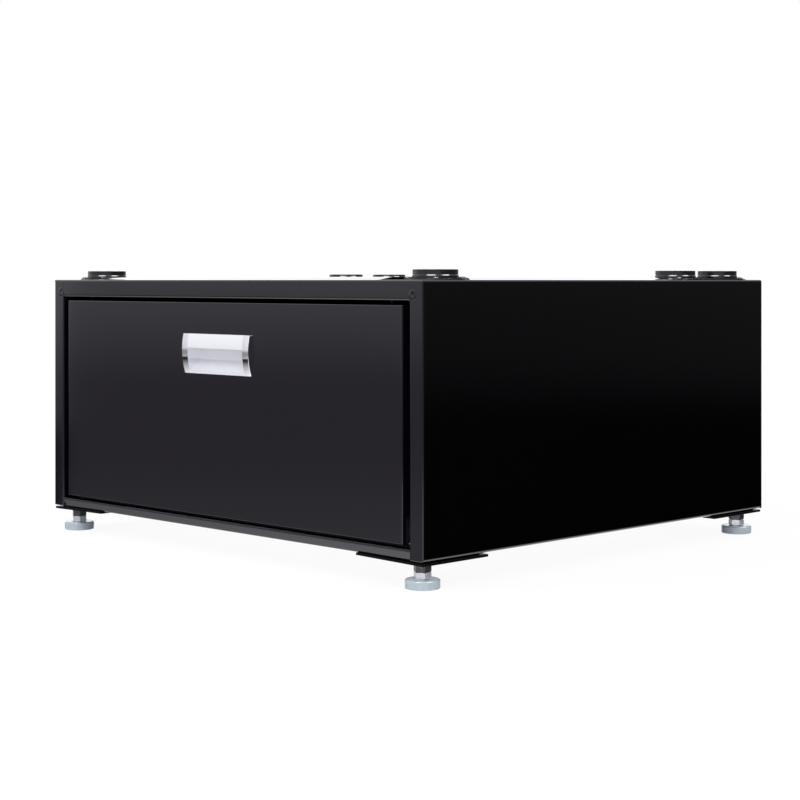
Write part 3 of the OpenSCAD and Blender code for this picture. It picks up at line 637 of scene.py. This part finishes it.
def corner_plate(corner):
    """The plate under a bottom corner; a front one rises to the rail at its far end."""
    node = f"gusset_{corner}"
    # The plate's finish is the duller black paint, darker as painted shade under the cabinet.
    piece = dress(node, 0.2 * MM, finish="corner_plates")
    if corner.startswith("rear"):
        return
    low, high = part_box(node)
    edit(piece, "VERT")
    inner = low.x if corner.endswith("right") else high.x
    pick(piece, "verts", lambda v: abs(v.co.x - inner) < PLATE_END and v.co.y < low.y + PLATE_END
         and v.co.z < high.z - PLATE_RISE + 0.1 * MM)
    bpy.ops.transform.translate(value=(0.0, 0.0, PLATE_RISE))
    leave()


# ---- the cups and their plates ------------------------------------------

def cup(node):
    """A cup for a machine's foot: a bead round its base, a rolled lip and grip rings on its floor."""
    low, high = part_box(node)
    base, lip = low.z / MM, high.z / MM
    wall, bore, floor = 22.0, 19.0, base + 2.0
    profile = [(0.0, base), (22.2, base), (22.6, base + 0.4), (22.6, base + 2.3), (22.55, base + 2.5),
               (22.1, base + 3.5), (wall, base + 3.7)]
    profile += arc((wall - 0.3, lip - 0.3), 0.3, 0.0, 90.0, 4)
    profile += arc((bore + 0.6, lip - 0.6), 0.6, 90.0, 180.0, 4)
    profile += [(bore, floor + 0.5), (bore - 0.5, floor)]
    for ring in (16.0, 12.0, 8.0):
        profile += [(ring, floor), (ring - 0.4, floor - 0.4), (ring - 1.2, floor - 0.4), (ring - 1.6, floor)]
    profile += [(0.0, floor)]
    x, y, _ = middle(node)
    piece = turned(f"{node}_moulded", (x, y), profile, 96, close=False)
    smooth(piece, 40.0)
    return stand_for(piece, node)


def cross_recess(piece, top, half, depth):
    """A cross-shaped driver recess in a head whose top is at the height given, in millimetres."""
    for turn in (0.0, 90.0):
        size = (2.0 * half * MM, 0.55 * MM) if turn else (0.55 * MM, 2.0 * half * MM)
        corners = [(-size[0] / 2, -size[1] / 2), (size[0] / 2, -size[1] / 2), (size[0] / 2, size[1] / 2),
                   (-size[0] / 2, size[1] / 2)]
        tool = drawn("recess_cutter", [(u, v, (top - depth) * MM) for u, v in corners],
                     (0.0, 0.0, 2.0 * depth * MM))
        cut(piece, tool)


def pan_screw(head_r, head_h, shank):
    """A pan-head screw whose head stands on the ground plane, at the origin."""
    piece = turned("screw", (0.0, 0.0), [
        (0.0, -shank), (1.1, -shank), (1.75, 0.9 - shank), (1.75, 0.0), (head_r, 0.0),
        (head_r, head_h * 0.25), (head_r * 0.93, head_h * 0.55), (head_r * 0.72, head_h * 0.86),
        (head_r * 0.4, head_h * 0.98), (0.0, head_h)], 28, close=False)
    cross_recess(piece, head_h, head_r * 0.55, head_h * 0.55)
    return piece


def cup_screws():
    """The screws of the cup plates, each turned to where its driver left it."""
    x, front = middle("cup_front_right").x, middle("cup_front_right").y
    near, far = middle("cup_middle_right").y, middle("cup_rear_right").y
    out = 18.38 * MM
    head_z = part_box("cup_plate_front_right")[1].z
    model = pan_screw(3.0, 1.6, 5.7)
    spots = [(side * x + dx * out, y) for side in SIDES.values() for dx in (-1, 1)
             for y in (front - out, front + out, near - out, far + out)]
    made = []
    for turn, (u, v) in enumerate(spots):
        screw = copied(model, f"screw_{turn}")
        edit(screw, "VERT")
        bpy.ops.mesh.select_all(action="SELECT")
        bpy.ops.transform.rotate(value=radians(37.0 * turn), orient_axis="Z",
                                 center_override=(0.0, 0.0, 0.0))
        bpy.ops.transform.translate(value=(u, v, head_z))
        leave()
        made.append(screw)
    bpy.data.objects.remove(model)
    piece = joined(made, "cup_screws_driven")
    smooth(piece, 30.0)
    return stand_for(piece, "cup_screws")


def back_screws():
    """The six screws of the back sheet."""
    low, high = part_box("back_screws")
    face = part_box("back_panel")[1].y
    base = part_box("back_panel")[0].z
    model = pan_screw(3.5, (high.y - face) / MM, 8.0)
    edit(model, "VERT")
    bpy.ops.mesh.select_all(action="SELECT")
    bpy.ops.transform.rotate(value=radians(90.0), orient_axis="X", center_override=(0.0, 0.0, 0.0))
    leave()
    made = []
    for side in SIDES.values():
        for z in (low.z + 3.5 * MM, base + 97.0 * MM, high.z - 3.5 * MM):
            made.append(copied(model, f"screw_{len(made)}", (side * 293.5 * MM, face, z)))
    bpy.data.objects.remove(model)
    piece = joined(made, "back_screws_driven")
    smooth(piece, 30.0)
    return stand_for(piece, "back_screws")


# ---- the feet -----------------------------------------------------------

def foot_pad(corner):
    """A moulded pad with a rounded shoulder, a bore for the stud's neck and a hollow tread."""
    x, y, _ = middle(f"foot_pad_{corner}")
    profile = [(0.0, 0.5), (11.5, 0.5), (12.0, 0.0), (16.0, 0.0)]
    profile += arc((16.0, 1.0), 1.0, -60.0, 0.0, 4)
    profile += [(16.95, 6.9)]
    profile += arc((14.9, 7.0), 2.0, 0.0, 84.0, 8)
    profile += [(9.6, 9.0), (9.3, 8.85), (4.5, 8.85), (4.06, 8.5), (4.06, 3.0), (0.0, 3.0)]
    piece = turned(f"foot_pad_{corner}_moulded", (x, y), profile, 80, close=False)
    smooth(piece, 40.0)
    return stand_for(piece, f"foot_pad_{corner}")


def hexagon(name, spot, across, z0, z1):
    """A hexagon with its corners turned off at both ends, all in millimetres but the spot."""
    r = across / sqrt(3.0)
    bpy.ops.object.select_all(action="DESELECT")
    bpy.ops.mesh.primitive_cylinder_add(vertices=6, radius=r * MM, depth=(z1 - z0) * MM,
                                        location=(*spot, (z0 + z1) / 2.0 * MM))
    piece = bpy.context.object
    piece.name = name
    bpy.ops.object.transform_apply(location=True)
    flat = across / 2.0
    drop = (r + 0.2 - flat) * 0.55
    tool = turned("chamfer", spot, [(0.0, z0), (flat, z0), (r + 0.2, z0 + drop), (r + 0.2, z1 - drop),
                                    (flat, z1), (0.0, z1)], 60, close=False)
    modify(piece, "BOOLEAN", operation="INTERSECT", solver="EXACT", object=tool)
    bpy.data.objects.remove(tool)
    soften(piece, 0.12 * MM, 1, 40.0)
    return piece


def thread(name, spot, z0, z1, pitch, root, crest):
    """A closed ridge wound up a shank from z0 to z1, in millimetres."""
    x, y = spot
    section = [(root - 0.2, 0.0), (crest, pitch * 0.42), (crest, pitch * 0.54), (root - 0.2, pitch * 0.96)]
    piece = outline(name, [(x + r * MM, y, (z0 + v) * MM) for r, v in section])
    leave()
    edit(piece, "VERT")
    bpy.ops.mesh.select_all(action="SELECT")
    bpy.ops.transform.translate(value=(-x, -y, 0.0))
    leave()
    modify(piece, "SCREW", steps=20, screw_offset=pitch * MM, iterations=int((z1 - z0) / pitch) - 1,
           use_smooth_shade=False)
    edit(piece, "VERT")
    bpy.ops.mesh.select_all(action="SELECT")
    bpy.ops.transform.translate(value=(x, y, 0.0))
    bpy.ops.mesh.select_non_manifold()
    bpy.ops.mesh.edge_face_add()
    bpy.ops.mesh.select_all(action="SELECT")
    bpy.ops.mesh.normals_make_consistent(inside=False)
    leave()
    return piece


def foot_stud(corner):
    """The stud: a neck in the pad, the adjusting hexagon and a threaded shank with a turned end."""
    node = f"foot_stud_{corner}"
    low, high = (corner_point.z / MM for corner_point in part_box(node))
    x, y, _ = middle(node)
    root = 4.15
    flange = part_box(f"foot_pad_{corner}")[1].z / MM + 0.1
    nut_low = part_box("lock_nuts")[0].z / MM - 0.06
    shank = turned("shank", (x, y), [
        (0.0, low), (3.6, low), (4.0, low + 0.4), (4.0, flange + 0.5), (root, flange + 0.5),
        (root, high - 1.4), (root - 1.1, high), (0.0, high)], 40, close=False)
    ridge = thread("ridge", (x, y), nut_low - 0.6, high - 1.0, 1.5, root, 5.0)
    nut = hexagon("adjuster", (x, y), 15.0, flange, nut_low)
    piece = joined([nut, shank, ridge], f"{node}_threaded")
    smooth(piece, 30.0)
    return stand_for(piece, node, finish="bright_zinc")


def at_feet():
    return [middle(f"foot_pad_{corner}").to_2d() for corner in CORNERS]


def lock_nuts():
    """The four nuts that lock the studs, bored through."""
    low, high = (corner_point.z / MM for corner_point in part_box("lock_nuts"))
    made = []
    for spot in at_feet():
        nut = hexagon("lock_nut", spot, 15.0, low, high)
        tool = turned("bore", spot, [(0.0, low - 1.0), (5.6, low - 1.0), (5.6, low), (5.06, low + 0.6),
                                     (5.06, high - 0.6), (5.6, high), (5.6, high + 1.0),
                                     (0.0, high + 1.0)], 40, close=False)
        cut(nut, tool)
        made.append(nut)
    piece = joined(made, "lock_nuts_chamfered")
    smooth(piece, 30.0)
    return stand_for(piece, "lock_nuts")


def foot_collars():
    """The bosses under the corner plates, each with the fillet of its weld."""
    low, high = (corner_point.z / MM for corner_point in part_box("foot_collars"))
    profile = [(5.06, low), (7.7, low), (8.0, low + 0.3), (8.0, high - 1.3), (8.25, high - 0.8),
               (8.8, high - 0.3), (9.5, high), (5.06, high)]
    piece = joined([turned("collar", spot, profile, 56) for spot in at_feet()], "foot_collars_welded")
    smooth(piece, 40.0)
    return stand_for(piece, "foot_collars")


# ---- the pull -----------------------------------------------------------

def pull_curve(z_from, z_to, steps):
    """Points down the bulged face of the pull, behind the drawer front's face, in millimetres."""
    crest, radius, proud = 4.0, 75.0, 4.4
    heights = [z_from + (z_to - z_from) * i / steps for i in range(steps + 1)]
    return [(radius - proud - sqrt(radius ** 2 - (z - crest) ** 2), z) for z in heights]


def pull_section(section, name, x0, x1):
    """A section of the pull, in millimetres from the drawer's face and the pull's middle, drawn out."""
    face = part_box("drawer_front")[0].y
    low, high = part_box("handle_body")
    z0 = (low.z + high.z) / 2.0
    return drawn(name, [(x0 * MM, face + u * MM, z0 + v * MM) for u, v in section],
                 ((x1 - x0) * MM, 0.0, 0.0))


def pull_body():
    """The pull's body: a band to put the fingers behind, a pocket, a sloped floor and a low lip.

    The bevels are clamped, because the edges at the lip are close together."""
    pocket = [(-1.4, 6.0)]
    pocket += [(-1.4, 11.0), (-0.9, 13.2), (0.2, 15.0), (1.8, 16.2), (4.0, 16.8), (9.5, 16.8)]
    pocket += arc((10.0, 12.8), 4.0, 84.0, 0.0, 6)
    pocket += [(14.0, -5.4)]
    pocket += arc((12.4, -5.6), 1.6, 0.0, -62.0, 4)
    pocket += [(-0.5, -17.2)]
    front = pull_curve(21.0, 6.0, 14)
    lip = pull_curve(-17.6, -21.0, 4)
    section = front + pocket + lip
    section += [(0.0, -21.0), (0.0, -18.9), (16.0, -18.9), (16.0, 18.9), (0.0, 18.9), (0.0, 21.0)]
    piece = pull_section(section, "handle_body_formed", -45.0, 45.0)
    edit(piece, "EDGE")
    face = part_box("drawer_front")[0].y

    def mouth(edge):
        """The long edges of the pocket's mouth, and of the pull's rim."""
        middle_y = sum(v.co.y for v in edge.verts) / 2.0
        long_one = abs(edge.verts[0].co.x - edge.verts[1].co.x) > 0.05
        return long_one and middle_y < face + 1.0 * MM and edge.calc_face_angle(0.0) > radians(35.0)

    pick(piece, "edges", mouth)
    bpy.ops.mesh.bevel(offset=0.3 * MM, segments=2, affect="EDGES", clamp_overlap=True)
    leave()
    smooth(piece, 40.0)
    return stand_for(piece, "handle_body")


def pull_cap(name, side):
    """A bright bar that closes one end of the pull, its edges lightly rounded."""
    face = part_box("drawer_front")[0].y
    section = pull_curve(21.0, -21.0, 32)
    section += [(0.0, -21.0), (0.0, -18.9), (16.0, -18.9), (16.0, 18.9), (0.0, 18.9), (0.0, 21.0)]
    piece = pull_section(section, f"handle_cap_{name}_polished", side * 45.0, side * 54.5)
    step = pull_section([(0.0, -22.0), (17.0, -22.0), (17.0, 22.0), (0.0, 22.0)], "step_cutter", side * 52.4,
                        side * 55.5)
    cut(piece, step)
    edit(piece, "EDGE")

    def rim(edge, x):
        """The edge of the bar's bulged face at the distance x from the pull's middle."""
        return (all(abs(abs(v.co.x) - x * MM) < 0.01 * MM for v in edge.verts)
                and any(v.co.y < face - 0.1 * MM for v in edge.verts))

    pick(piece, "edges", lambda e: rim(e, 54.5))
    bpy.ops.mesh.bevel(offset=0.5 * MM, segments=3, affect="EDGES")
    pick(piece, "edges", lambda e: rim(e, 45.0))
    bpy.ops.mesh.bevel(offset=0.25 * MM, segments=2, affect="EDGES")
    leave()
    smooth(piece, 30.0)
    return stand_for(piece, f"handle_cap_{name}")


# ---- the whole pedestal -------------------------------------------------

camera()
studio_world()
studio_floor()
lamp("key", (-1.2, -2.4, 2.6), (0.0, 0.0, 0.15), 1.6, 34.0)
lamp("fill", (2.6, -1.2, 2.2), (0.0, 0.0, 0.15), 1.8, 14.0)
bpy.context.scene.view_settings.view_transform = "Standard"

for node, slot in SLOT.items():
    NODES[node].data.materials.clear()
    NODES[node].data.materials.append(FINISH[slot])

pressed_top()
bottom_rail()
frame_welds()
foot_collars()
lock_nuts()
for corner in CORNERS:
    foot_pad(corner)
    foot_stud(corner)
for row in ("front", "middle", "rear"):
    for side in SIDES:
        cup(f"cup_{row}_{side}")
cup_screws()
back_screws()
pull_body()
for name, side in SIDES.items():
    pull_cap(name, side)
for node in ("top_rail", "front_stile_left", "front_stile_right"):
    dress(node, 0.2 * MM)
# The sheets take the darker copy of the black paint, which is painted shade.
for node in ("side_panel_left", "side_panel_right", "back_panel"):
    dress(node, 0.2 * MM, finish="black_paint")
for node in ("top_brace_left", "top_brace_right", "slide_channel_left", "slide_channel_right"):
    dress(node, 0.25 * MM)
for corner in CORNERS:
    corner_plate(corner)
    dress(f"cup_plate_{corner}", 0.4 * MM)
for node in ("drawer_front", "front_liner", "drawer_side_left", "drawer_side_right", "drawer_back",
             "drawer_bottom"):
    dress(node, 0.25 * MM)
for part in ("slide_outer", "slide_middle", "slide_inner", "ball_cage_outer", "ball_cage_inner"):
    for side in SIDES:
        dress(f"{part}_{side}", 0.15 * MM, 1)
for node in ("channel_screws", "drawer_screws"):
    dress(node, 0.2 * MM)
